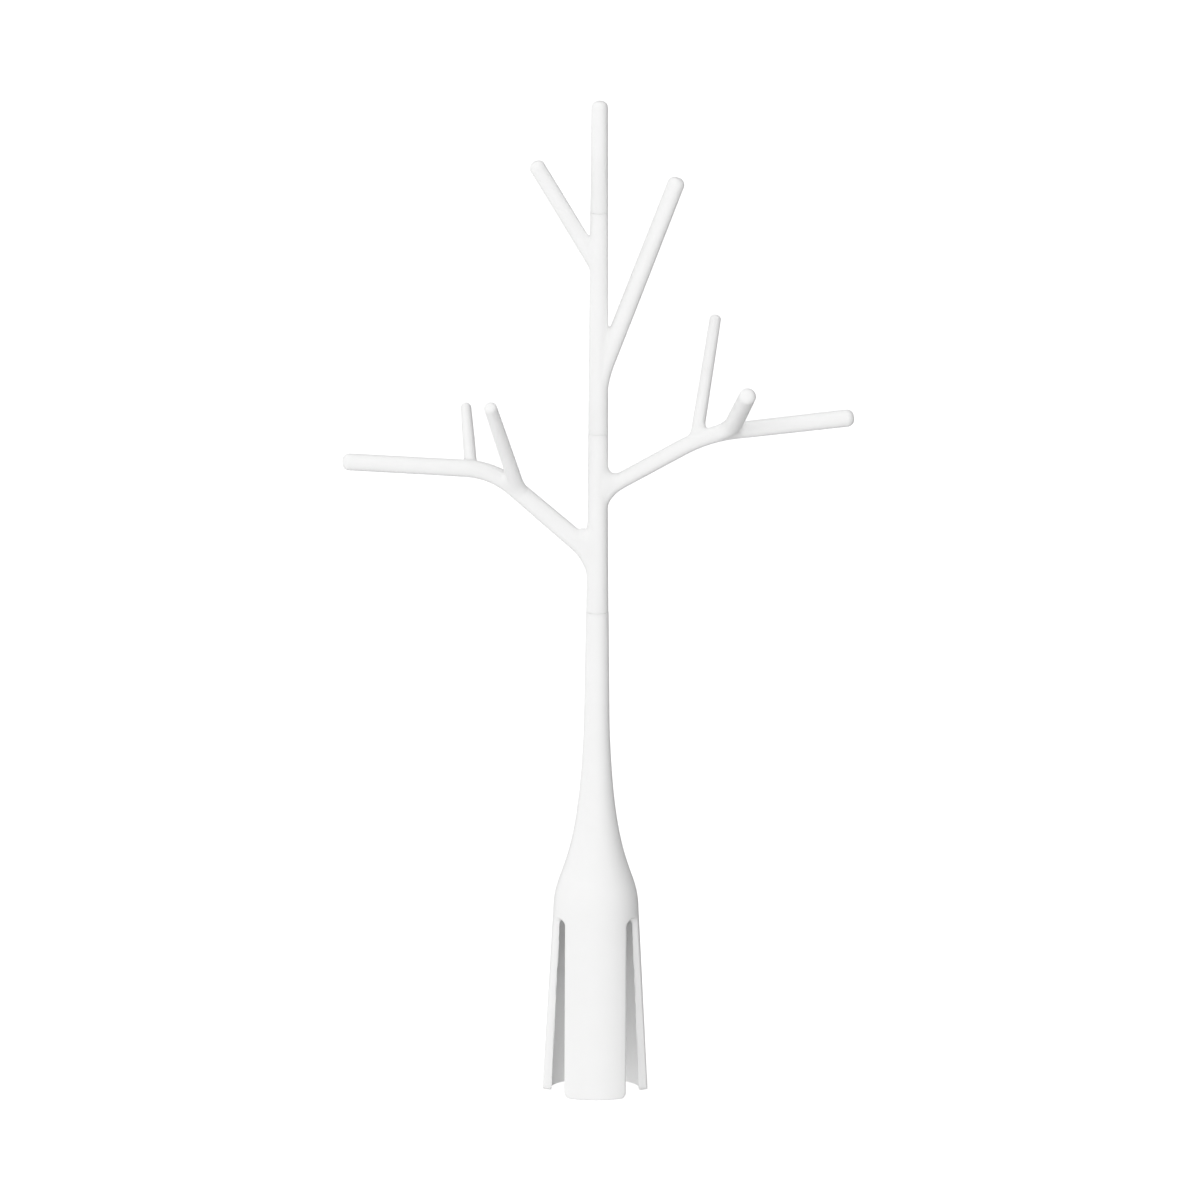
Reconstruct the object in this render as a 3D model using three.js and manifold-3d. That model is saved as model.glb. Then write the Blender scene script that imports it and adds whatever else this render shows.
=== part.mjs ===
// Branch-shaped drying rack for small feeding-bottle parts: four push-together mouldings.
// Millimetres, +Z up. The origin is on the trunk's axis, in the plane the three legs stand on.
// The front leg points along -Y.
import * as THREE from 'three';
import { mergeVertices } from 'three/addons/utils/BufferGeometryUtils.js';
import Module from 'manifold-3d';

const wasm = await Module();
wasm.setup();

// ---------------------------------------------------------------- driving dimensions

const HEIGHT = 308; // floor to the top of the tip
const ARM_REACH = 78; // axis to the end of each main arm, along X
const TWIG_REACH = 27; // axis to the ends of the front and back twigs, along Y

const SEAM_LOW = 149.5; // joint between base_stem and lower_branch
const SEAM_MID = 205; // joint between lower_branch and upper_branch
const SEAM_TOP = 273.5; // joint between upper_branch and top_tip
const JOINT_GAP = 0.3; // clearance at every joint, on its faces and round its peg

const FOOT_RADIUS = 16.1; // outer radius of the legs at the floor
const SHOULDER_RADIUS = 13.05; // outer radius where the legs begin
const SHOULDER_HEIGHT = 57;
const NECK_HEIGHT = 115; // where the flare meets the plain trunk
const NECK_RADIUS = 3.9;
const FLARE_HANDLES = [[12.85, 70.4], [5.4, 67.6]]; // [radius, height] of the flare curve's two handles

const LEG_COUNT = 3;
const LEG_HALF_WIDTH = 9.4;
const LEG_CORNER_RADIUS = 1.7;
const SLOT_HEIGHT = 55; // floor to the top of the slots between the legs
const SLOT_CORNER_RADIUS = 2.1;
const HOLLOW_FOOT_RADIUS = 13.6; // inner radius of the legs at the floor
const HOLLOW_SHOULDER_RADIUS = 11.75;
const HOLLOW_SHOULDER_HEIGHT = 52;
const HOLLOW_TOP = 102; // the cored-out hollow ends here, inside the neck
const HOLLOW_TOP_RADIUS = 1.5;
const HOLLOW_HANDLES = [[3.4, 64], [11.25, 65.5]]; // [radius, height], from the top of the hollow down

// Trunk radius just below and just above each joint, going up.
const BASE_TOP_RADIUS = 3.47;
const LOWER_TRUNK_RADII = [3.4, 3.04];
const UPPER_TRUNK_RADII = [3.03, 2.71];
const TIP_RADII = [2.69, 2.52];

// Pegs stand on top of a moulding and enter the socket under the next one.
const LOW_PEG = { radius: 1.75, length: 9 };
const MID_PEG = { radius: 1.6, length: 8 };
const TOP_PEG = { radius: 1.4, length: 7 };
const PEG_CHAMFER = 0.4;

const FOOT_SEGMENTS = 48;
const TRUNK_SEGMENTS = 24;
const LIMB_SEGMENTS = 18;
const RING_STEP = 4; // largest spacing of the rings along a limb
const CAP_RINGS = 4; // rings in a limb's round end
const EDGE_SEGMENTS = 4; // steps round a rounded edge of the legs
const CURVE_POINTS = 14; // points along each flare curve
const OVERCUT = 5; // how far a cutting shape runs past what it cuts

// ---------------------------------------------------------------- limbs
// A limb's centre line runs straight between its corners, from inside its parent to the centre of its
// round end. A bend rounds each inner corner, and begins and ends that far from it. The radii are
// spaced evenly along the limb, from its root to its tip.

const armTip = (side, radius, z) => [side * (ARM_REACH - radius), 0, z];
const twigTip = (x, side, radius, z) => [x, side * (TWIG_REACH - radius), z];
const FRONT = -1;
const BACK = 1;

const LOWER_LIMBS = [
  { // left arm
    corners: [[0, 0, 152], [0, 0, 166.2], [-31.9, 0, 193.6], armTip(-1, 2.6, 195.8)],
    bends: [8.8, 8.5],
    radii: [2.9, 3, 2.75, 2.6, 2.6],
  },
  { // left front twig
    corners: [[-18.5, 0, 182.1], [-24.2, 0, 187], twigTip(-32.6, FRONT, 2, 217.2)],
    bends: [5],
    radii: [2.3, 2.25, 2.15, 2],
  },
  { // left back twig
    corners: [[-38.7, 0, 193.9], twigTip(-40.5, BACK, 1.62, 207.8)],
    bends: [],
    radii: [1.9, 1.62],
  },
  { // right arm
    corners: [[0, 0, 176], [0, 0, 186.5], [33.4, 0, 205.1], armTip(1, 2.65, 210.1)],
    bends: [7.9, 9],
    radii: [2.4, 2.45, 2.5, 2.6, 2.65],
  },
  { // right back twig
    corners: [[24.7, 0, 200.2], [29.9, 0, 203.1], twigTip(35.6, BACK, 1.75, 235.5)],
    bends: [4],
    radii: [2, 1.95, 1.85, 1.75],
  },
  { // right front twig
    corners: [[33.4, 0, 204.4], [40.6, 0, 205.9], twigTip(45.2, FRONT, 2.6, 221.2)],
    bends: [5],
    radii: [2.2, 2.9, 2.75, 2.6],
  },
];

const UPPER_LIMBS = [
  { // left twig
    corners: [[0, 0, 247], [0, 0, 256.2], [-18.6, 0, 287]],
    bends: [3.4],
    radii: [2.45, 2.4],
  },
  { // right twig
    corners: [[0, 0, 210], [0, 0, 221.1], [23.1, 0, 281.9]],
    bends: [6.7],
    radii: [2.65, 2.7, 2.62],
  },
];

// ---------------------------------------------------------------- solids and booleans

// A closed geometry as a manifold solid, without the zero-area triangles at a lathe's poles.
function toSolid(geometry) {
  const bare = geometry.clone();
  bare.deleteAttribute('normal');
  bare.deleteAttribute('uv');
  const merged = mergeVertices(bare);
  const corners = merged.index.array;
  const kept = [];
  for (let i = 0; i < corners.length; i += 3) {
    const [a, b, c] = corners.slice(i, i + 3);
    if (a !== b && b !== c && c !== a) kept.push(a, b, c);
  }
  return new wasm.Manifold(new wasm.Mesh({
    numProp: 3,
    vertProperties: new Float32Array(merged.attributes.position.array),
    triVerts: new Uint32Array(kept),
  }));
}

function toMesh(name, solid, material) {
  const { vertProperties, triVerts } = solid.getMesh();
  const geometry = new THREE.BufferGeometry();
  geometry.setAttribute('position', new THREE.BufferAttribute(vertProperties, 3));
  geometry.setIndex(new THREE.BufferAttribute(triVerts, 1));
  geometry.computeVertexNormals();
  const mesh = new THREE.Mesh(geometry, material);
  mesh.name = name;
  return mesh;
}

// A solid of revolution about Z from [radius, height] points that start and end on the axis.
function revolved(points, segments) {
  const profile = points.map(([radius, height]) => new THREE.Vector2(radius, height));
  const geometry = new THREE.LatheGeometry(profile, segments);
  geometry.rotateX(Math.PI / 2);
  return toSolid(geometry);
}

function curvePoints(...controls) {
  const curve = new THREE.CubicBezierCurve(...controls.map(([x, y]) => new THREE.Vector2(x, y)));
  return curve.getPoints(CURVE_POINTS).map((point) => [point.x, point.y]);
}

// ---------------------------------------------------------------- pieces of a moulding

// The outline of a trunk's upper end: its joint face, then the peg up to its top on the axis.
function pegOutline(peg, faceHeight) {
  const top = faceHeight + peg.length;
  return [
    [peg.radius, faceHeight],
    [peg.radius, top - PEG_CHAMFER],
    [peg.radius - PEG_CHAMFER, top],
    [0, top],
  ];
}

// The hole that a peg enters, open at the bottom face of a moulding.
function socket(peg, faceHeight) {
  const radius = peg.radius + JOINT_GAP;
  const bottom = faceHeight - OVERCUT;
  const top = faceHeight + peg.length + JOINT_GAP;
  return revolved([[0, bottom], [radius, bottom], [radius, top], [0, top]], TRUNK_SEGMENTS);
}

// The straight-sided trunk of a branch moulding, between the joint below and the joint above.
function trunk(bottom, top, radii, peg) {
  const points = [[0, bottom], [radii[0], bottom], [radii[1], top], ...pegOutline(peg, top)];
  return revolved(points, TRUNK_SEGMENTS);
}

// Maps a shape built along +Y onto a curve, keeping its distance along the curve.
function bendAlong(geometry, curve) {
  const length = curve.getLength();
  const reach = curve.getPointAt(1).sub(curve.getPointAt(0));
  const runsInDepth = Math.abs(reach.y) > Math.abs(reach.x);
  const side = runsInDepth ? new THREE.Vector3(1, 0, 0) : new THREE.Vector3(0, 1, 0);
  const position = geometry.attributes.position;
  for (let i = 0; i < position.count; i++) {
    const local = new THREE.Vector3().fromBufferAttribute(position, i);
    const along = Math.min(local.y, length);
    const tangent = curve.getTangentAt(along / length);
    const across = new THREE.Vector3().crossVectors(tangent, side).normalize();
    const binormal = new THREE.Vector3().crossVectors(across, tangent);
    const place = curve.getPointAt(along / length);
    place.addScaledVector(tangent, local.y - along);
    place.addScaledVector(across, local.x);
    place.addScaledVector(binormal, local.z);
    position.setXYZ(i, place.x, place.y, place.z);
  }
  return geometry;
}

// Straight lines between the corners, with a bend at each inner one.
function centreLine(corners, bends) {
  const points = corners.map((corner) => new THREE.Vector3(...corner));
  const line = new THREE.CurvePath();
  let start = points[0];
  bends.forEach((bend, i) => {
    const corner = points[i + 1];
    const before = points[i].clone().sub(corner).setLength(bend).add(corner);
    const after = points[i + 2].clone().sub(corner).setLength(bend).add(corner);
    line.add(new THREE.LineCurve3(start, before));
    line.add(new THREE.QuadraticBezierCurve3(before, corner, after));
    start = after;
  });
  line.add(new THREE.LineCurve3(start, points.at(-1)));
  return line;
}

// The value at a share of the way through evenly spaced values.
function between(values, share) {
  const place = share * (values.length - 1);
  const step = Math.min(Math.floor(place), values.length - 2);
  return THREE.MathUtils.lerp(values[step], values[step + 1], place - step);
}

function limb({ corners, bends, radii }) {
  const line = centreLine(corners, bends);
  const length = line.getLength();
  const rings = Math.ceil(length / RING_STEP);
  const profile = [new THREE.Vector2(0, 0)];
  for (let i = 0; i <= rings; i++) {
    profile.push(new THREE.Vector2(between(radii, i / rings), (i / rings) * length));
  }
  const tipRadius = radii.at(-1);
  for (let i = 1; i <= CAP_RINGS; i++) {
    const angle = (i / CAP_RINGS) * (Math.PI / 2);
    profile.push(new THREE.Vector2(tipRadius * Math.cos(angle), length + tipRadius * Math.sin(angle)));
  }
  return toSolid(bendAlong(new THREE.LatheGeometry(profile, LIMB_SEGMENTS), line));
}

const joinAll = (first, others) => others.reduce((whole, next) => whole.add(next), first);
const cutAll = (first, cutters) => cutters.reduce((whole, next) => whole.subtract(next), first);

// ---------------------------------------------------------------- foot

// The wedge between two neighbouring legs, with its upper edges rounded.
function slotBetweenLegs(azimuth) {
  const apex = LEG_HALF_WIDTH / Math.sin(Math.PI / LEG_COUNT);
  const far = 2 * FOOT_RADIUS;
  const halfOpening = (far - apex) * Math.tan(Math.PI / LEG_COUNT);
  const wedge = new THREE.Shape();
  wedge.moveTo(apex, 0);
  wedge.lineTo(far, -halfOpening);
  wedge.lineTo(far, halfOpening);
  const geometry = new THREE.ExtrudeGeometry(wedge, {
    depth: SLOT_HEIGHT - SLOT_CORNER_RADIUS + OVERCUT,
    bevelThickness: SLOT_CORNER_RADIUS,
    bevelSize: SLOT_CORNER_RADIUS,
    bevelOffset: -SLOT_CORNER_RADIUS,
    bevelSegments: EDGE_SEGMENTS,
  });
  geometry.translate(0, 0, -OVERCUT);
  geometry.rotateZ(azimuth);
  return toSolid(geometry);
}

// What rounds off one bottom corner of the leg that points along azimuth.
function legCorner(azimuth, side) {
  const inner = LEG_HALF_WIDTH - LEG_CORNER_RADIUS;
  const outline = new THREE.Shape();
  outline.moveTo(inner, -OVERCUT);
  outline.lineTo(LEG_HALF_WIDTH + OVERCUT, -OVERCUT);
  outline.lineTo(LEG_HALF_WIDTH + OVERCUT, LEG_CORNER_RADIUS);
  outline.lineTo(LEG_HALF_WIDTH, LEG_CORNER_RADIUS);
  outline.absarc(inner, LEG_CORNER_RADIUS, LEG_CORNER_RADIUS, 0, -Math.PI / 2, true);
  const geometry = new THREE.ExtrudeGeometry(outline, {
    depth: FOOT_RADIUS,
    bevelEnabled: false,
    curveSegments: EDGE_SEGMENTS,
  });
  geometry.rotateX(Math.PI / 2);
  if (side > 0) geometry.translate(0, -OVERCUT, 0);
  else geometry.rotateZ(Math.PI).translate(0, -FOOT_RADIUS - OVERCUT, 0);
  geometry.rotateZ(azimuth + Math.PI / 2);
  return toSolid(geometry);
}

function footOutline() {
  const inside = curvePoints(
    [HOLLOW_TOP_RADIUS, HOLLOW_TOP - HOLLOW_TOP_RADIUS],
    ...HOLLOW_HANDLES,
    [HOLLOW_SHOULDER_RADIUS, HOLLOW_SHOULDER_HEIGHT],
  );
  const outside = curvePoints(
    [SHOULDER_RADIUS, SHOULDER_HEIGHT],
    ...FLARE_HANDLES,
    [NECK_RADIUS, NECK_HEIGHT],
  );
  return [
    [0, HOLLOW_TOP],
    ...inside,
    [HOLLOW_FOOT_RADIUS, 0],
    [FOOT_RADIUS, 0],
    ...outside,
    [BASE_TOP_RADIUS, SEAM_LOW - JOINT_GAP],
    ...pegOutline(LOW_PEG, SEAM_LOW - JOINT_GAP),
  ];
}

function baseStem() {
  const cutters = [];
  for (let leg = 0; leg < LEG_COUNT; leg++) {
    const azimuth = (leg * 2 * Math.PI) / LEG_COUNT - Math.PI / 2;
    cutters.push(slotBetweenLegs(azimuth + Math.PI / LEG_COUNT));
    cutters.push(legCorner(azimuth, 1), legCorner(azimuth, -1));
  }
  return cutAll(revolved(footOutline(), FOOT_SEGMENTS), cutters);
}

// ---------------------------------------------------------------- branches and tip

function lowerBranch() {
  const stem = trunk(SEAM_LOW, SEAM_MID - JOINT_GAP, LOWER_TRUNK_RADII, MID_PEG);
  return joinAll(stem, LOWER_LIMBS.map(limb)).subtract(socket(LOW_PEG, SEAM_LOW));
}

function upperBranch() {
  const stem = trunk(SEAM_MID, SEAM_TOP - JOINT_GAP, UPPER_TRUNK_RADII, TOP_PEG);
  return joinAll(stem, UPPER_LIMBS.map(limb)).subtract(socket(MID_PEG, SEAM_MID));
}

function topTip() {
  const [bottomRadius, topRadius] = TIP_RADII;
  const capHeight = HEIGHT - topRadius;
  const points = [[0, SEAM_TOP], [bottomRadius, SEAM_TOP]];
  for (let i = 0; i <= CAP_RINGS; i++) {
    const angle = (i / CAP_RINGS) * (Math.PI / 2);
    points.push([topRadius * Math.cos(angle), capHeight + topRadius * Math.sin(angle)]);
  }
  return revolved(points, TRUNK_SEGMENTS).subtract(socket(TOP_PEG, SEAM_TOP));
}

// ---------------------------------------------------------------- the object

const whitePlastic = () => new THREE.MeshStandardMaterial({
  color: 0xf2f2f0,
  roughness: 0.45,
  metalness: 0,
});

const rack = new THREE.Group();
rack.add(toMesh('base_stem', baseStem(), whitePlastic()));
rack.add(toMesh('lower_branch', lowerBranch(), whitePlastic()));
rack.add(toMesh('upper_branch', upperBranch(), whitePlastic()));
rack.add(toMesh('top_tip', topTip(), whitePlastic()));

export default rack;
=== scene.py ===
"""Looks of the branch-shaped drying rack: four mouldings in satin white plastic on a white studio floor.

Each moulding is a smooth distance field (trunk, limbs, foot) that is skinned with quads. Where two
mouldings meet, the trunk is cut square and its joint face, peg or socket is turned ring by ring.
Shapes are worked out in millimetres and become metres when their mesh is made.
"""

import math

import bmesh
import bpy
import numpy as np
from mathutils import Matrix, Vector


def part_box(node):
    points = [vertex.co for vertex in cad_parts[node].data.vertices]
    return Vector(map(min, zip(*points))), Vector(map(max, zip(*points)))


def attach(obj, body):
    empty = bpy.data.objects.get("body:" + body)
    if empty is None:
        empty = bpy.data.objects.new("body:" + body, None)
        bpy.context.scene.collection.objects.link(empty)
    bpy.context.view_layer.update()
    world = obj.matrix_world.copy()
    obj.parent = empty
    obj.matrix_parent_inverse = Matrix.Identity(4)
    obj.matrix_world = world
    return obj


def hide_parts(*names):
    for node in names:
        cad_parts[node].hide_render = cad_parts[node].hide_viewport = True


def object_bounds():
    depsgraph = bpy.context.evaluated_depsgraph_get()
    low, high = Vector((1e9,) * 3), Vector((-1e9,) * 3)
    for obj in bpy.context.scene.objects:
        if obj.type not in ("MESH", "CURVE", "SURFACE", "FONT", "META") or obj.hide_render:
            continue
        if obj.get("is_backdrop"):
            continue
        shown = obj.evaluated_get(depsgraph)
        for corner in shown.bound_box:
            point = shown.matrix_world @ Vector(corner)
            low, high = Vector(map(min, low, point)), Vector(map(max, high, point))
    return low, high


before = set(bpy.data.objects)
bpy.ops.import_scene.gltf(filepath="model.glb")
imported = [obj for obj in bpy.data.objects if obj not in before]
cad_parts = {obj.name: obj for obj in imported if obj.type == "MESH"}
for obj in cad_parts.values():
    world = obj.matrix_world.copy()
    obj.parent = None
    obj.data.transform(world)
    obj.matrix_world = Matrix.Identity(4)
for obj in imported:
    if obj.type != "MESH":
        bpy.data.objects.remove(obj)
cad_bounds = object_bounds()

MM = 0.001

# ---------------------------------------------------------------- sizes taken from the frame, in millimetres


def low_corner(node):
    return np.array(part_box(node)[0]) / MM


def high_corner(node):
    return np.array(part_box(node)[1]) / MM


HEIGHT = high_corner("top_tip")[2]
ARM_REACH = high_corner("lower_branch")[0]
TWIG_REACH = high_corner("lower_branch")[1]
FOOT_RADIUS = high_corner("base_stem")[0]
SEAM_LOW = low_corner("lower_branch")[2]
SEAM_MID = low_corner("upper_branch")[2]
SEAM_TOP = low_corner("top_tip")[2]
LOW_PEG_TOP = high_corner("base_stem")[2]
TOP_PEG_TOP = high_corner("upper_branch")[2]

# ---------------------------------------------------------------- other driving dimensions, in millimetres

SEAM_GAP = 0.03  # a push-fit joint closes to a hairline
SEAM_EDGE = 0.08  # rounding of a joint face's rim
PEG_CLEARANCE = 0.25
PEG_CHAMFER = 0.4
PEG_ROOT_CHAMFER = 0.15
SOCKET_LEAD_IN = 0.25
MID_PEG_LENGTH = 7.7

SHOULDER_RADIUS = 13.05
SHOULDER_HEIGHT = 57
NECK_RADIUS = 3.9
NECK_HEIGHT = 115
FLARE_HANDLES = [(70.4, 12.85), (67.6, 5.4)]  # (height, radius) of the flare curve's two handles
LEG_COUNT = 3
LEG_HALF_WIDTH = 9.4
LEG_CORNER_RADIUS = 1.7
LEG_EDGE = 0.4  # rounding along every edge of the legs
SLOT_HEIGHT = 55
SLOT_CORNER_RADIUS = 2.1
HOLLOW_FOOT_RADIUS = 13.6
HOLLOW_SHOULDER_RADIUS = 11.75
HOLLOW_SHOULDER_HEIGHT = 52
HOLLOW_TOP = 102
HOLLOW_TOP_RADIUS = 1.5
HOLLOW_HANDLES = [(65.5, 11.25), (64, 3.4)]

# Trunk radius at heights going up.
BASE_TOP_RADIUS = 3.47
LOWER_TRUNK = [(SEAM_LOW, 3.4), (165, 3.22), (180, 3.1), (SEAM_MID, 3.04)]
UPPER_TRUNK = [(SEAM_MID, 3.03), (SEAM_TOP, 2.71)]
TIP_TRUNK = [(SEAM_TOP, 2.69), (HEIGHT, 2.52)]
PEG_RADII = {"low": 1.75, "mid": 1.6, "top": 1.4}

TIP_BLUNTNESS = 0.82  # corner radius of a limb's end, as a share of the limb's radius
TRUNK_OVERRUN = 2.5  # how far a trunk is skinned past its seam before it is cut square
PROFILE_OVERRUN = 10  # how far a turned profile goes on past the end of its solid

# ---------------------------------------------------------------- limbs
# A limb's centre line runs straight between its corners, from inside its parent to the centre of its
# round end. A bend rounds each inner corner, and begins and ends that far from it. The radii are
# spaced evenly along the limb, from its root to its tip.

FRONT = -1
BACK = 1


def arm_tip(side, radius, height):
    return (side * (ARM_REACH - radius), 0, height)


def twig_tip(x, side, radius, height):
    return (x, side * (TWIG_REACH - radius), height)


LEFT_ARM = dict(
    corners=[(0, 0, 152), (0, 0, 166.2), (-31.9, 0, 193.6), arm_tip(-1, 2.6, 195.8)],
    bends=[8.8, 8.5], radii=[2.9, 3, 2.75, 2.6, 2.6], fillet=3.6,
)
LEFT_FRONT_TWIG = dict(
    corners=[(-18.5, 0, 182.1), (-24.2, 0, 187), twig_tip(-32.6, FRONT, 2, 217.2)],
    bends=[5], radii=[2.3, 2.25, 2.15, 2], fillet=2.6,
)
LEFT_BACK_TWIG = dict(
    corners=[(-35.9, 0, 193.8), (-38.7, 0, 193.9), twig_tip(-40.5, BACK, 1.62, 207.8)],
    bends=[2.4], radii=[1.9, 1.85, 1.62], fillet=1.8,
)
RIGHT_ARM = dict(
    corners=[(0, 0, 176), (0, 0, 186.5), (33.4, 0, 205.1), arm_tip(1, 2.65, 210.1)],
    bends=[7.9, 9], radii=[2.4, 2.45, 2.5, 2.6, 2.65], fillet=4,
)
RIGHT_BACK_TWIG = dict(
    corners=[(24.7, 0, 200.2), (29.9, 0, 203.1), twig_tip(35.6, BACK, 1.75, 235.5)],
    bends=[4], radii=[2, 1.95, 1.85, 1.75], fillet=2.2,
)
RIGHT_FRONT_TWIG = dict(
    corners=[(31.9, 0, 204.1), (40.2, 0, 205.9), twig_tip(45.2, FRONT, 2.6, 221.2)],
    bends=[7.5], radii=[2.2, 2.7, 2.7, 2.6], fillet=2.8,
)
UPPER_LEFT_TWIG = dict(
    corners=[(0, 0, 247), (0, 0, 256.2), (-18.6, 0, 287)],
    bends=[3.4], radii=[2.45, 2.4], fillet=0.9,
)
UPPER_RIGHT_TWIG = dict(
    corners=[(0, 0, 210), (0, 0, 221.1), (23.1, 0, 281.9)],
    bends=[6.7], radii=[2.65, 2.7, 2.62], fillet=1.2,
)

# Arms come before the twigs that grow from them.
LOWER_LIMBS = [LEFT_ARM, RIGHT_ARM, LEFT_FRONT_TWIG, LEFT_BACK_TWIG, RIGHT_BACK_TWIG, RIGHT_FRONT_TWIG]
UPPER_LIMBS = [UPPER_RIGHT_TWIG, UPPER_LEFT_TWIG]

# ---------------------------------------------------------------- distance fields, in millimetres
# A field takes an array of points and gives how far each is outside (+) or inside (-) a shape.


def joined(a, b, radius):
    """Union of two fields, with a concave fillet of that radius where they meet."""
    near = np.hypot(np.maximum(radius - a, 0), np.maximum(radius - b, 0))
    return np.maximum(radius, np.minimum(a, b)) - near


def common(a, b, radius):
    """Intersection of two fields, with its convex edge rounded to that radius."""
    near = np.hypot(np.maximum(radius + a, 0), np.maximum(radius + b, 0))
    return np.minimum(-radius, np.maximum(a, b)) + near


def smoothstep(low, high, values):
    share = np.clip((values - low) / (high - low), 0, 1)
    return share * share * (3 - 2 * share)


def bezier(controls, count=200):
    """Points along a cubic curve with four control points."""
    a, b, c, d = np.array(controls, float)
    t = np.linspace(0, 1, count)[:, None]
    return (1 - t) ** 3 * a + 3 * (1 - t) ** 2 * t * b + 3 * (1 - t) * t * t * c + t**3 * d


def turned(profile):
    """Field of a solid of revolution about Z, from (height, radius) points in rising order."""
    heights, radii = np.array(profile, float).T
    slope = np.gradient(radii, heights)

    def field(points):
        across = np.hypot(points[:, 0], points[:, 1])
        tilt = np.interp(points[:, 2], heights, slope)
        return (across - np.interp(points[:, 2], heights, radii)) / np.hypot(1, tilt)

    return field


def unit(vectors):
    return vectors / np.maximum(np.linalg.norm(vectors, axis=1), 1e-6)[:, None]


def trunk(profile):
    """Field of a plain trunk that overruns both ends of its profile, with the directions away from it."""
    wall = turned(profile)
    bottom = profile[0][0] - TRUNK_OVERRUN
    top = profile[-1][0] + TRUNK_OVERRUN

    def field(points):
        ends = np.maximum(bottom - points[:, 2], points[:, 2] - top)
        return np.maximum(wall(points), ends), unit(points * (1, 1, 0))

    return field


class Limb:
    """A round limb along a smooth centre line, with a blunt round end."""

    SAMPLE_STEP = 0.1
    SOFTENING = 1.6  # length over which the centre line's bends are evened out
    SOFTENING_PASSES = 2
    COARSE_EVERY = 20  # every so many samples one is tried as the nearest, before the finer search
    FINER_STEPS = 3

    def __init__(self, corners, bends, radii, fillet):
        self.fillet = fillet
        self.centres = self.evened(self.centre_line(np.array(corners, float), bends))
        steps = np.linalg.norm(np.diff(self.centres, axis=0), axis=1)
        self.along = np.concatenate([[0], np.cumsum(steps)])
        self.length = self.along[-1]
        self.tangents = np.gradient(self.centres, self.along, axis=0)
        self.tangents /= np.linalg.norm(self.tangents, axis=1)[:, None]
        self.radii = np.interp(self.along, np.linspace(0, self.length, len(radii)), radii)
        self.low = self.centres.min(0) - max(radii)
        self.high = self.centres.max(0) + max(radii)

    def centre_line(self, corners, bends):
        """Evenly spaced points of straight lines between the corners, with a bend at each inner one."""
        pieces = [corners[:1]]
        for bend, before, corner, after in zip(bends, corners, corners[1:], corners[2:]):
            start = corner + bend * (before - corner) / np.linalg.norm(before - corner)
            end = corner + bend * (after - corner) / np.linalg.norm(after - corner)
            pieces.append(bezier([start, (start + 2 * corner) / 3, (end + 2 * corner) / 3, end]))
        curve = np.vstack(pieces + [corners[-1:]])
        gone = np.concatenate([[0], np.cumsum(np.linalg.norm(np.diff(curve, axis=0), axis=1))])
        even = np.linspace(0, gone[-1], int(gone[-1] / self.SAMPLE_STEP) + 1)
        return np.stack([np.interp(even, gone, curve[:, k]) for k in range(3)], 1)

    def evened(self, points):
        """The points with a running mean taken over them, and both ends drawn on straight for it."""
        half = int(self.SOFTENING / self.SAMPLE_STEP / 2)
        lead = np.arange(half, 0, -1)[:, None]
        front = points[0] + lead * (points[0] - points[1])
        back = points[-1] + lead[::-1] * (points[-1] - points[-2])
        for _ in range(self.SOFTENING_PASSES):
            padded = np.vstack([front, points, back])
            total = np.cumsum(np.vstack([np.zeros((1, 3)), padded]), axis=0)
            points = (total[2 * half + 1:] - total[:-2 * half - 1]) / (2 * half + 1)
        return points

    def at(self, table, along):
        """The centres or tangents of the limb at distances along it."""
        return np.stack([np.interp(along, self.along, table[:, k]) for k in range(3)], 1)

    def nearest(self, points):
        """Distance along the centre line of the nearest place to each point; it may pass the end."""
        coarse = self.centres[:: self.COARSE_EVERY]
        score = (coarse**2).sum(1) - 2 * points @ coarse.T
        along = self.along[:: self.COARSE_EVERY][score.argmin(1)]
        for _ in range(self.FINER_STEPS):
            held = np.clip(along, 0, self.length)
            offset = points - self.at(self.centres, held)
            step = (offset * self.at(self.tangents, held)).sum(1)
            along = np.maximum(held + step, 0)
        return along

    def field(self, points):
        """Distance of each point from the limb, and the direction away from its centre line."""
        along = self.nearest(points)
        past = np.maximum(along - self.length, 0)[:, None]
        held = np.minimum(along, self.length)
        offset = points - self.at(self.centres, held) - past * self.tangents[-1]
        wall = np.linalg.norm(offset, axis=1) - np.interp(held, self.along, self.radii)
        end = along - self.length - self.radii[-1]
        return common(wall, end, TIP_BLUNTNESS * self.radii[-1]), unit(offset)


LEAST_FILLET = 0.05  # share of a limb's fillet that is left where it runs side by side with its parent


def grown(body, shape):
    """body with a limb added. Its fillet is full where the two surfaces cross steeply, and fades out where
    they run side by side, so that a limb that bends out of its parent leaves no lump.
    """
    limb = Limb(**shape)
    margin = 2 * limb.fillet + 1  # beyond this the limb changes nothing near the surface

    def field(points):
        distances, normals = body(points)
        near = np.all((points > limb.low - margin) & (points < limb.high + margin), axis=1)
        wall, away = limb.field(points[near])
        steepness = 1 - (normals[near] * away).sum(1)
        radius = limb.fillet * np.maximum(smoothstep(0, 1, steepness), LEAST_FILLET)
        share = np.maximum(radius - distances[near], 0)[:, None] * normals[near]
        share += np.maximum(radius - wall, 0)[:, None] * away
        apart = np.minimum(distances[near], wall) > radius
        closest = np.where((distances[near] < wall)[:, None], normals[near], away)
        normals[near] = np.where(apart[:, None], closest, unit(share))
        distances[near] = joined(distances[near], wall, radius)
        return distances, normals

    return field


def distance_only(field):
    return lambda points: field(points)[0]


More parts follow.
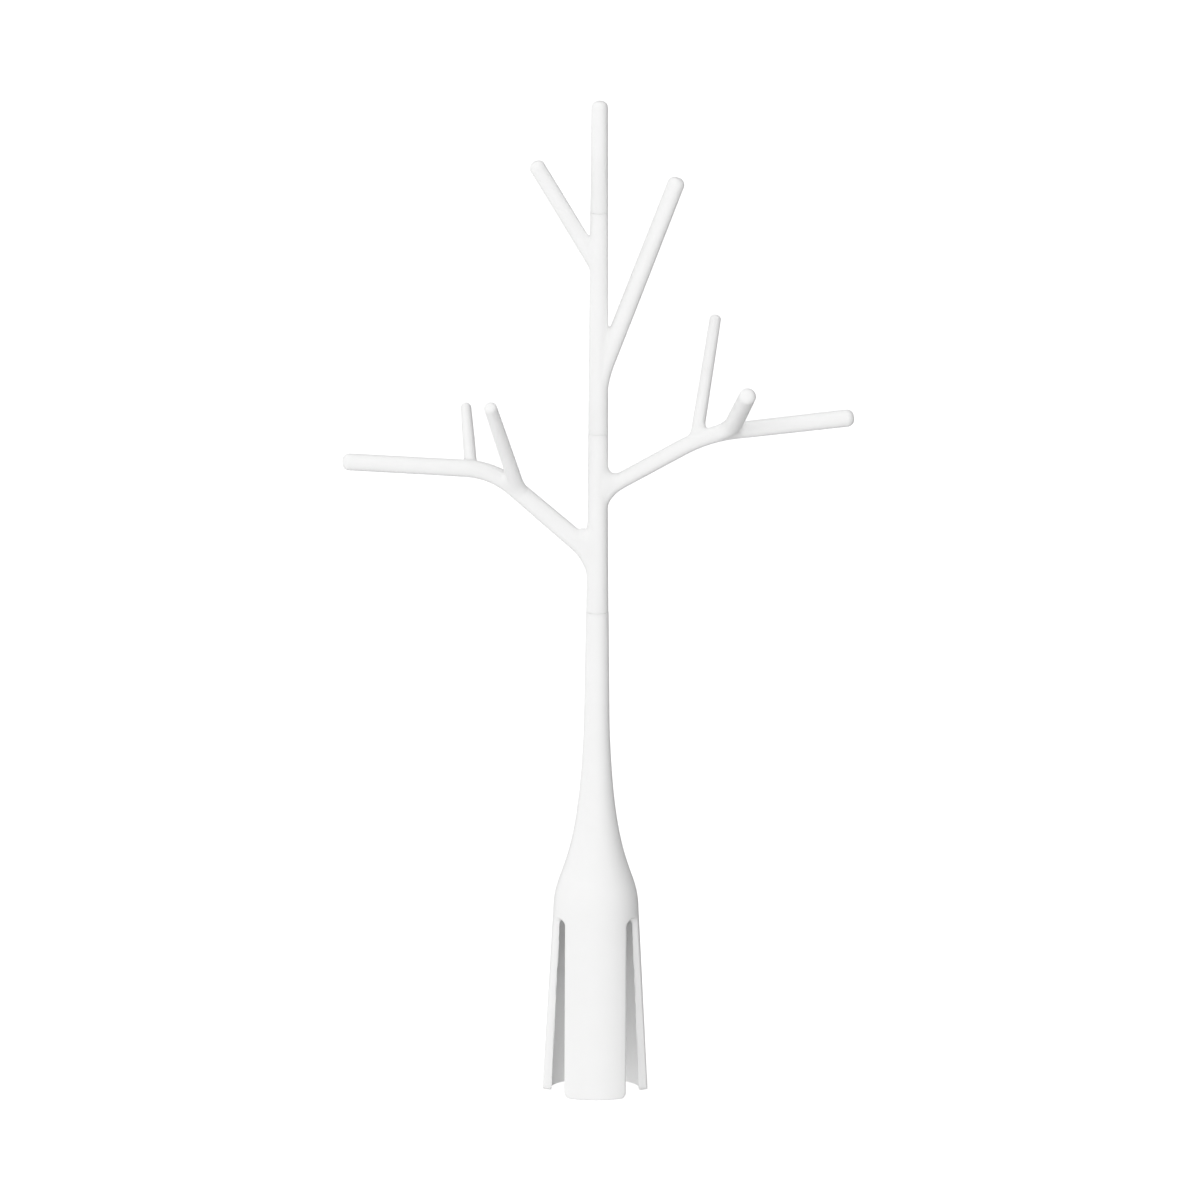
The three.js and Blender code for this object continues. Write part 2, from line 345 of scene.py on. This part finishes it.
def foot():
    """Field of the base moulding: a flared trunk, cored out from below, on three legs."""
    flare = bezier([(SHOULDER_HEIGHT, SHOULDER_RADIUS), *FLARE_HANDLES, (NECK_HEIGHT, NECK_RADIUS)])
    outside = turned([
        (0, FOOT_RADIUS), *flare,
        (SEAM_LOW, BASE_TOP_RADIUS), (SEAM_LOW + PROFILE_OVERRUN, BASE_TOP_RADIUS),
    ])
    core = bezier([
        (HOLLOW_SHOULDER_HEIGHT, HOLLOW_SHOULDER_RADIUS), *HOLLOW_HANDLES,
        (HOLLOW_TOP - HOLLOW_TOP_RADIUS, HOLLOW_TOP_RADIUS),
    ])
    inside = turned([(0, HOLLOW_FOOT_RADIUS), *core, (HOLLOW_TOP + PROFILE_OVERRUN, HOLLOW_TOP_RADIUS)])
    top = SEAM_LOW + TRUNK_OVERRUN

    def field(points):
        height = points[:, 2]
        legs = np.full(len(points), np.inf)
        for leg in range(LEG_COUNT):
            azimuth = 2 * math.pi * leg / LEG_COUNT - math.pi / 2
            sideways = abs(points[:, 1] * math.cos(azimuth) - points[:, 0] * math.sin(azimuth))
            outward = points[:, 0] * math.cos(azimuth) + points[:, 1] * math.sin(azimuth)
            slab = common(sideways - LEG_HALF_WIDTH, -height, LEG_CORNER_RADIUS)
            legs = np.minimum(legs, np.maximum(slab, -outward))
        standing = joined(legs, SLOT_HEIGHT - height, SLOT_CORNER_RADIUS)
        hollow = common(inside(points), height - HOLLOW_TOP, HOLLOW_TOP_RADIUS)
        shell = common(np.maximum(outside(points), height - top), -hollow, LEG_EDGE)
        return common(shell, standing, LEG_EDGE)

    return field


# ---------------------------------------------------------------- skinning a field with quads

BLOCK = 8  # cells along one side of a block
CELL_MARGIN = 1.0  # how far from the surface the field is still worked out in full
SETTLING_STEPS = (2, 1, 2)  # steps onto the surface after each round of relaxing
PROBE = 0.01  # how far apart the field is sampled for its slope
LEAST_SLOPE_SQUARED = 0.25  # keeps a step finite where the slope fades
LONGEST_STEP = 0.5

# Grid spacings. Each gives a mesh in which every edge is shared by two faces.
BASE_SPACING = 0.39
LOWER_SPACING = 0.51
UPPER_SPACING = 0.48
TIP_SPACING = 0.45
GRID_MARGIN = 4  # from a CAD box to the edge of its grid


def sampled(field, axes):
    """The field at every corner of the grid. Blocks of cells that hold no surface get a constant."""
    size = [len(axis) for axis in axes]
    firsts = [np.arange(0, count, BLOCK) for count in size]
    starts = np.stack(np.meshgrid(*firsts, indexing="ij"), -1).reshape(-1, 3)
    ends = np.minimum(starts + BLOCK, size) - 1
    low = np.stack([axis[first] for axis, first in zip(axes, starts.T)], 1)
    high = np.stack([axis[last] for axis, last in zip(axes, ends.T)], 1)
    middles = field((low + high) / 2)
    reach = np.linalg.norm(high - low, axis=1) / 2 + CELL_MARGIN
    values = np.empty(size)
    corners = []
    for start, middle, active in zip(starts, middles, abs(middles) < reach):
        block = tuple(slice(first, first + BLOCK) for first in start)
        if active:
            corners.append(np.argwhere(np.ones(values[block].shape, bool)) + start)
        else:
            values[block] = middle
    corners = np.vstack(corners)
    places = np.stack([axis[index] for axis, index in zip(axes, corners.T)], 1)
    values[tuple(corners.T)] = field(places)
    return values


def crossings(values, axes):
    """For each cell, the sum and the number of the points where the surface crosses its edges."""
    shape = [n - 1 for n in values.shape]
    total = np.zeros([*shape, 3])
    count = np.zeros(shape)
    grid = np.stack(np.meshgrid(*axes, indexing="ij"), -1)
    for axis in range(3):
        first = [slice(None)] * 3
        second = [slice(None)] * 3
        first[axis] = slice(None, -1)
        second[axis] = slice(1, None)
        a, b = values[tuple(first)], values[tuple(second)]
        crossed = (a < 0) != (b < 0)
        share = np.where(crossed, a / np.where(crossed, a - b, 1), 0)[..., None]
        point = grid[tuple(first)] * (1 - share) + grid[tuple(second)] * share
        others = [k for k in range(3) if k != axis]
        for shift in ((0, 0), (0, 1), (1, 0), (1, 1)):
            pick = [slice(None)] * 3
            for other, offset in zip(others, shift):
                pick[other] = slice(offset, offset + shape[other])
            pick = tuple(pick)
            total += np.where(crossed[pick][..., None], point[pick], 0)
            count += crossed[pick]
    return total, count


def skin(field, axes):
    """Vertices and quads of the field's surface. Each cell that the surface passes through has a vertex at
    the mean of its crossing points, and each crossed edge a quad between its four cells.
    """
    values = sampled(field, axes)
    total, count = crossings(values, axes)
    used = count > 0
    number = np.full(count.shape, -1)
    number[used] = np.arange(used.sum())
    vertices = total[used] / count[used][:, None]
    quads = []
    for axis in range(3):
        u, v = (axis + 1) % 3, (axis + 2) % 3
        inner = [slice(None)] * 3
        inner[u] = inner[v] = slice(1, -1)
        a = values[tuple(inner)]
        lower = [slice(None)] * 3
        upper = [slice(None)] * 3
        lower[axis] = slice(None, -1)
        upper[axis] = slice(1, None)
        here, there = a[tuple(lower)] < 0, a[tuple(upper)] < 0
        cell = np.argwhere(here != there)
        flipped = there[tuple(cell.T)]
        corners = []
        for du, dv in ((0, 0), (1, 0), (1, 1), (0, 1)):
            place = cell.copy()
            place[:, u] += du
            place[:, v] += dv
            corners.append(number[tuple(place.T)])
        faces = np.stack(corners, 1)
        faces[flipped] = faces[flipped][:, ::-1]
        quads.append(faces)
    quads = np.vstack(quads)
    for steps in SETTLING_STEPS:
        vertices = settled(field, relaxed(vertices, quads), steps)
    return vertices, quads


def relaxed(vertices, quads):
    """Each vertex moved half way to the mean of its neighbours, which evens out the quads."""
    total = np.zeros_like(vertices)
    count = np.zeros(len(vertices))
    for side in range(4):
        a, b = quads[:, side], quads[:, (side + 1) % 4]
        np.add.at(total, a, vertices[b])
        np.add.at(count, a, 1)
        np.add.at(total, b, vertices[a])
        np.add.at(count, b, 1)
    return (vertices + total / count[:, None]) / 2


def settled(field, vertices, steps):
    """The vertices moved along the field's slope onto its surface."""
    for _ in range(steps):
        value = field(vertices)
        slope = np.stack([field(vertices + PROBE * axis) - value for axis in np.eye(3)], 1) / PROBE
        size = np.maximum((slope**2).sum(1), LEAST_SLOPE_SQUARED)
        vertices = vertices - np.clip(value / size, -LONGEST_STEP, LONGEST_STEP)[:, None] * slope
    return vertices


def even_axis(low, high, step):
    return np.linspace(low, high, int(math.ceil((high - low) / step)) + 1)


def graded_axis(stretches):
    """Grid positions over (start, end, spacing) stretches that follow each other."""
    parts = [even_axis(*stretch)[:-1] for stretch in stretches]
    return np.concatenate(parts + [[stretches[-1][1]]])


# ---------------------------------------------------------------- turning the ends

RIM_STEPS = 3
SAME_HEIGHT = 1e-4


def rim_edges(mesh, height):
    """The open edges that a cut at that height has left."""
    return [
        edge for edge in mesh.edges
        if edge.is_boundary and all(abs(vertex.co.z - height) < SAME_HEIGHT for vertex in edge.verts)
    ]


def turn_end(mesh, height, upward, profile):
    """Cuts the trunk square at a height, then turns its end through (radius, height) rings to the axis."""
    reach = 2 * TRUNK_OVERRUN
    around = [
        face for face in mesh.faces
        if abs(face.calc_center_median().z - height) < reach
        and math.hypot(*face.calc_center_median().xy) < reach
    ]
    parts = dict.fromkeys(around)  # each part once, in the same order in every run
    for face in around:
        parts.update(dict.fromkeys([*face.verts, *face.edges]))
    normal = (0, 0, 1 if upward else -1)
    bmesh.ops.bisect_plane(
        mesh, geom=list(parts), plane_co=(0, 0, height), plane_no=normal, clear_outer=True,
    )
    rim = rim_edges(mesh, height)
    for radius, level in profile:
        made = bmesh.ops.extrude_edge_only(mesh, edges=rim)["geom"]
        for vertex in (item for item in made if isinstance(item, bmesh.types.BMVert)):
            azimuth = math.atan2(vertex.co.y, vertex.co.x)
            vertex.co = (radius * math.cos(azimuth), radius * math.sin(azimuth), level)
        rim = [item for item in made if isinstance(item, bmesh.types.BMEdge) and item.is_boundary]
    bmesh.ops.edgeloop_fill(mesh, edges=rim)


def rim_rings(radius, height, upward):
    """Rings round the rim of a joint face, from the trunk's wall onto the face."""
    side = 1 if upward else -1
    rings = []
    for step in range(1, RIM_STEPS + 1):
        angle = step / RIM_STEPS * math.pi / 2
        rings.append((
            radius - SEAM_EDGE * (1 - math.cos(angle)),
            height - side * SEAM_EDGE * (1 - math.sin(angle)),
        ))
    return rings


def peg_profile(radius, height, peg_radius, peg_top):
    """A joint face with a chamfered peg standing on it."""
    return rim_rings(radius, height, True) + [
        (peg_radius + PEG_ROOT_CHAMFER, height),
        (peg_radius, height + PEG_ROOT_CHAMFER),
        (peg_radius, peg_top - PEG_CHAMFER),
        (peg_radius - PEG_CHAMFER, peg_top),
        (peg_radius / 3, peg_top),
    ]


def socket_profile(radius, height, peg_radius, peg_top):
    """A joint face with the hole that a peg enters."""
    hole = peg_radius + PEG_CLEARANCE
    roof = peg_top + PEG_CLEARANCE
    return rim_rings(radius, height, False) + [
        (hole + SOCKET_LEAD_IN, height),
        (hole, height + SOCKET_LEAD_IN),
        (hole, roof),
        (hole / 3, roof),
    ]


# ---------------------------------------------------------------- material

# Feature counts per metre of the plastic's four layers of noise.
MOTTLE = 120
GLOSS_PATCHES = 260
SWELL = 320
GRAIN = 4500

NOISE_LOW = 0.3  # nearly all of the noise lies between these two
NOISE_HIGH = 0.7
ROUGHNESS_LOW = 0.40
ROUGHNESS_HIGH = 0.54


def node(tree, kind, **settings):
    made = tree.nodes.new(kind)
    for name, value in settings.items():
        setattr(made, name, value)
    return made


def noise(tree, coordinates, scale, detail=3.0):
    """Noise with scale in features per metre and detail in octaves."""
    made = node(tree, "ShaderNodeTexNoise")
    made.inputs["Scale"].default_value = scale
    made.inputs["Detail"].default_value = detail
    tree.links.new(coordinates, made.inputs["Vector"])
    return made.outputs["Fac"]


def spread(tree, value, low, high):
    """Noise mapped to a range of its own."""
    made = node(tree, "ShaderNodeMapRange")
    made.inputs["From Min"].default_value = NOISE_LOW
    made.inputs["From Max"].default_value = NOISE_HIGH
    made.inputs["To Min"].default_value = low
    made.inputs["To Max"].default_value = high
    tree.links.new(value, made.inputs["Value"])
    return made.outputs["Result"]


def bump(tree, height, strength, distance):
    """Relief whose full height is distance metres."""
    made = node(tree, "ShaderNodeBump")
    made.inputs["Strength"].default_value = strength
    made.inputs["Distance"].default_value = distance
    tree.links.new(height, made.inputs["Height"])
    return made


def white_plastic(name):
    """Satin injection-moulded white plastic: fine grain, faint mottling and a slightly uneven gloss.
    A little light passes into it, and out again through its thin walls.
    """
    material = bpy.data.materials.new(name)
    material.use_nodes = True
    tree = material.node_tree
    shader = tree.nodes["Principled BSDF"]
    place = node(tree, "ShaderNodeTexCoord").outputs["Object"]

    tint = node(tree, "ShaderNodeMix", data_type="RGBA")
    tint.inputs["A"].default_value = (0.90, 0.90, 0.895, 1)
    tint.inputs["B"].default_value = (0.93, 0.93, 0.93, 1)
    tree.links.new(noise(tree, place, MOTTLE), tint.inputs["Factor"])
    tree.links.new(tint.outputs["Result"], shader.inputs["Base Color"])

    gloss = spread(tree, noise(tree, place, GLOSS_PATCHES), ROUGHNESS_LOW, ROUGHNESS_HIGH)
    tree.links.new(gloss, shader.inputs["Roughness"])
    shader.inputs["IOR"].default_value = 1.49
    shader.inputs["Subsurface Weight"].default_value = 0.2
    shader.inputs["Subsurface Radius"].default_value = (1, 1, 1)
    shader.inputs["Subsurface Scale"].default_value = 2 * MM

    grain = bump(tree, noise(tree, place, GRAIN, 2), strength=0.25, distance=0.04 * MM)
    swell = bump(tree, noise(tree, place, SWELL, 1), strength=0.3, distance=0.12 * MM)
    tree.links.new(grain.outputs["Normal"], swell.inputs["Normal"])
    tree.links.new(swell.outputs["Normal"], shader.inputs["Normal"])
    return material


# ---------------------------------------------------------------- mouldings

SHARP_ANGLE = math.radians(38)  # an edge that turns by more than this isn't shaded smooth


def moulding(name, body, node_name, field, axes, ends):
    """One moulding: skins its field, turns its ends, and stands it in for its CAD node."""
    vertices, quads = skin(field, axes)
    data = bpy.data.meshes.new(name)
    data.from_pydata(vertices.tolist(), [], quads.tolist())
    mesh = bmesh.new()
    mesh.from_mesh(data)
    for height, upward, profile in ends:
        turn_end(mesh, height, upward, profile)
    bmesh.ops.recalc_face_normals(mesh, faces=mesh.faces)
    mesh.transform(Matrix.Scale(MM, 4))
    mesh.to_mesh(data)
    mesh.free()
    data.shade_smooth()
    data.set_sharp_from_angle(angle=SHARP_ANGLE)
    piece = bpy.data.objects.new(name, data)
    bpy.context.scene.collection.objects.link(piece)
    data.materials.append(white_plastic(name + "_plastic"))
    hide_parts(node_name)
    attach(piece, body)


def base_axes():
    """A grid that is finer at the soles, at the tops of the slots and at the top of the hollow."""
    reach = FOOT_RADIUS + 1
    across = even_axis(-reach, reach, BASE_SPACING)
    soles_end = LEG_CORNER_RADIUS + 0.9
    slot_tops = (SLOT_HEIGHT - 5, SLOT_HEIGHT + 3)
    hollow_top = (HOLLOW_TOP - 2, HOLLOW_TOP + 2)
    up = graded_axis([
        (-1, soles_end, 0.36),
        (soles_end, slot_tops[0], 1.2),
        (*slot_tops, 0.4),
        (slot_tops[1], hollow_top[0], 0.8),
        (*hollow_top, 0.5),
        (hollow_top[1], SEAM_LOW + GRID_MARGIN, 1.2),
    ])
    return [across, across, up]


def branch_axes(node_name, spacing):
    low = low_corner(node_name) - GRID_MARGIN
    high = high_corner(node_name) + GRID_MARGIN
    return [even_axis(low[k], high[k], spacing) for k in range(3)]


def base_moulding():
    face = SEAM_LOW - SEAM_GAP
    peg = peg_profile(BASE_TOP_RADIUS, face, PEG_RADII["low"], LOW_PEG_TOP)
    moulding(
        "base_stem_moulding", "base", "base_stem", foot(), base_axes(),
        [(face - SEAM_EDGE, True, peg)],
    )


def lower_moulding():
    field = trunk(LOWER_TRUNK)
    for limb in LOWER_LIMBS:
        field = grown(field, limb)
    face = SEAM_MID - SEAM_GAP
    socket = socket_profile(LOWER_TRUNK[0][1], SEAM_LOW, PEG_RADII["low"], LOW_PEG_TOP)
    peg = peg_profile(LOWER_TRUNK[-1][1], face, PEG_RADII["mid"], face + MID_PEG_LENGTH)
    moulding(
        "lower_branch_moulding", "lower", "lower_branch",
        distance_only(field), branch_axes("lower_branch", LOWER_SPACING),
        [(SEAM_LOW + SEAM_EDGE, False, socket), (face - SEAM_EDGE, True, peg)],
    )


def upper_moulding():
    field = trunk(UPPER_TRUNK)
    for limb in UPPER_LIMBS:
        field = grown(field, limb)
    face = SEAM_TOP - SEAM_GAP
    mid_peg_top = SEAM_MID - SEAM_GAP + MID_PEG_LENGTH
    socket = socket_profile(UPPER_TRUNK[0][1], SEAM_MID, PEG_RADII["mid"], mid_peg_top)
    peg = peg_profile(UPPER_TRUNK[-1][1], face, PEG_RADII["top"], TOP_PEG_TOP)
    moulding(
        "upper_branch_moulding", "upper", "upper_branch",
        distance_only(field), branch_axes("upper_branch", UPPER_SPACING),
        [(SEAM_MID + SEAM_EDGE, False, socket), (face - SEAM_EDGE, True, peg)],
    )


def tip_moulding():
    wall = turned(TIP_TRUNK)
    radius = TIP_TRUNK[-1][1]
    bottom = SEAM_TOP - TRUNK_OVERRUN

    def field(points):
        height = points[:, 2]
        rounded = common(wall(points), height - HEIGHT, TIP_BLUNTNESS * radius)
        return np.maximum(rounded, bottom - height)

    socket = socket_profile(TIP_TRUNK[0][1], SEAM_TOP, PEG_RADII["top"], TOP_PEG_TOP)
    moulding(
        "top_tip_moulding", "tip", "top_tip", field, branch_axes("top_tip", TIP_SPACING),
        [(SEAM_TOP + SEAM_EDGE, False, socket)],
    )


# ---------------------------------------------------------------- studio, in metres

FLOOR_RADIUS = 30
FLOOR_SEGMENTS = 96
FLOOR_DROP = 0.05 * MM
FLOOR_GREY = 0.45
FLOOR_GLOW = 0.8

# The world's glow: its middle, how far round it reaches (as the cosine of the angle from its middle),
# and its brightness outside and inside.
GLOW_MIDDLE = Vector((-0.56, -0.83, 0.22)).normalized()
GLOW_FADES_OUT = -0.46
GLOW_IS_FULL = -0.12
GLOW_OUTSIDE = 0.02
GLOW_INSIDE = 1.06

KEY_PLACE = (-0.9, -1.3, 1.3)
KEY_TARGET = (0, 0, 0.17)
KEY_SIZE = 0.9
KEY_POWER = 1.5

CAMERA_TARGET = Vector((0.0008, 0, 0.1532))
CAMERA_DISTANCE = 6.0
CAMERA_ELEVATION = math.radians(11.5)
CAMERA_ROLL = math.radians(0.27)
VIEW_WIDTH = 0.3666  # at the target


def studio_floor():
    """A very large round white floor, a hair below the soles. It glows, and is as pale as the background."""
    mesh = bmesh.new()
    bmesh.ops.create_circle(mesh, cap_ends=True, segments=FLOOR_SEGMENTS, radius=FLOOR_RADIUS)
    data = bpy.data.meshes.new("studio_floor")
    mesh.to_mesh(data)
    mesh.free()
    floor = bpy.data.objects.new("studio_floor", data)
    bpy.context.scene.collection.objects.link(floor)
    material = bpy.data.materials.new("studio_floor_white")
    material.use_nodes = True
    shader = material.node_tree.nodes["Principled BSDF"]
    shader.inputs["Base Color"].default_value = (FLOOR_GREY, FLOOR_GREY, FLOOR_GREY, 1)
    shader.inputs["Roughness"].default_value = 0.9
    shader.inputs["Specular IOR Level"].default_value = 0
    shader.inputs["Emission Color"].default_value = (1, 1, 1, 1)
    shader.inputs["Emission Strength"].default_value = FLOOR_GLOW
    data.materials.append(material)
    floor.location.z = -FLOOR_DROP
    floor.visible_diffuse = False
    floor.visible_glossy = False
    floor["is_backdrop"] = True


def studio_world():
    """White where the camera looks. As light, a wide glow from the front and left that leaves the
    right and the back dark.
    """
    world = bpy.data.worlds.new("studio")
    world.use_nodes = True
    bpy.context.scene.world = world
    tree = world.node_tree
    background = tree.nodes["Background"]
    direction = node(tree, "ShaderNodeTexCoord").outputs["Generated"]
    toward = node(tree, "ShaderNodeVectorMath", operation="DOT_PRODUCT")
    toward.inputs[1].default_value = GLOW_MIDDLE
    tree.links.new(direction, toward.inputs[0])
    glow = node(tree, "ShaderNodeMapRange", interpolation_type="SMOOTHSTEP")
    glow.inputs["From Min"].default_value = GLOW_FADES_OUT
    glow.inputs["From Max"].default_value = GLOW_IS_FULL
    glow.inputs["To Min"].default_value = GLOW_OUTSIDE
    glow.inputs["To Max"].default_value = GLOW_INSIDE
    tree.links.new(toward.outputs["Value"], glow.inputs["Value"])
    seen = node(tree, "ShaderNodeLightPath").outputs["Is Camera Ray"]
    strength = node(tree, "ShaderNodeMix")
    tree.links.new(seen, strength.inputs["Factor"])
    tree.links.new(glow.outputs["Result"], strength.inputs["A"])
    strength.inputs["B"].default_value = 1.0
    tree.links.new(strength.outputs["Result"], background.inputs["Strength"])
    background.inputs["Color"].default_value = (1, 1, 1, 1)


def key_softbox():
    """A square area light high up at the front left."""
    light = bpy.data.lights.new("key", "AREA")
    light.size = KEY_SIZE
    light.energy = KEY_POWER
    lamp = bpy.data.objects.new("key", light)
    lamp.location = KEY_PLACE
    lamp.rotation_euler = (Vector(KEY_TARGET) - Vector(KEY_PLACE)).to_track_quat("-Z", "Y").to_euler()
    bpy.context.scene.collection.objects.link(lamp)


def studio_camera():
    """A long lens in front of the rack, looking a little down on it."""
    camera = bpy.data.cameras.new("camera")
    camera.sensor_width = 36
    camera.lens = camera.sensor_width * CAMERA_DISTANCE / VIEW_WIDTH
    camera.clip_end = 100
    holder = bpy.data.objects.new("camera", camera)
    backward = Vector((0, -math.cos(CAMERA_ELEVATION), math.sin(CAMERA_ELEVATION)))
    place = CAMERA_TARGET + CAMERA_DISTANCE * backward
    aim = (CAMERA_TARGET - place).to_track_quat("-Z", "Y").to_matrix().to_4x4()
    holder.matrix_world = Matrix.Translation(place) @ aim @ Matrix.Rotation(CAMERA_ROLL, 4, "Z")
    bpy.context.scene.collection.objects.link(holder)
    bpy.context.scene.camera = holder


studio_camera()
studio_world()
studio_floor()
key_softbox()
bpy.context.scene.view_settings.view_transform = "Standard"

base_moulding()
lower_moulding()
upper_moulding()
tip_moulding()

visual_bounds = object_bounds()
[[list(corner) for corner in box] for box in (cad_bounds, visual_bounds)]
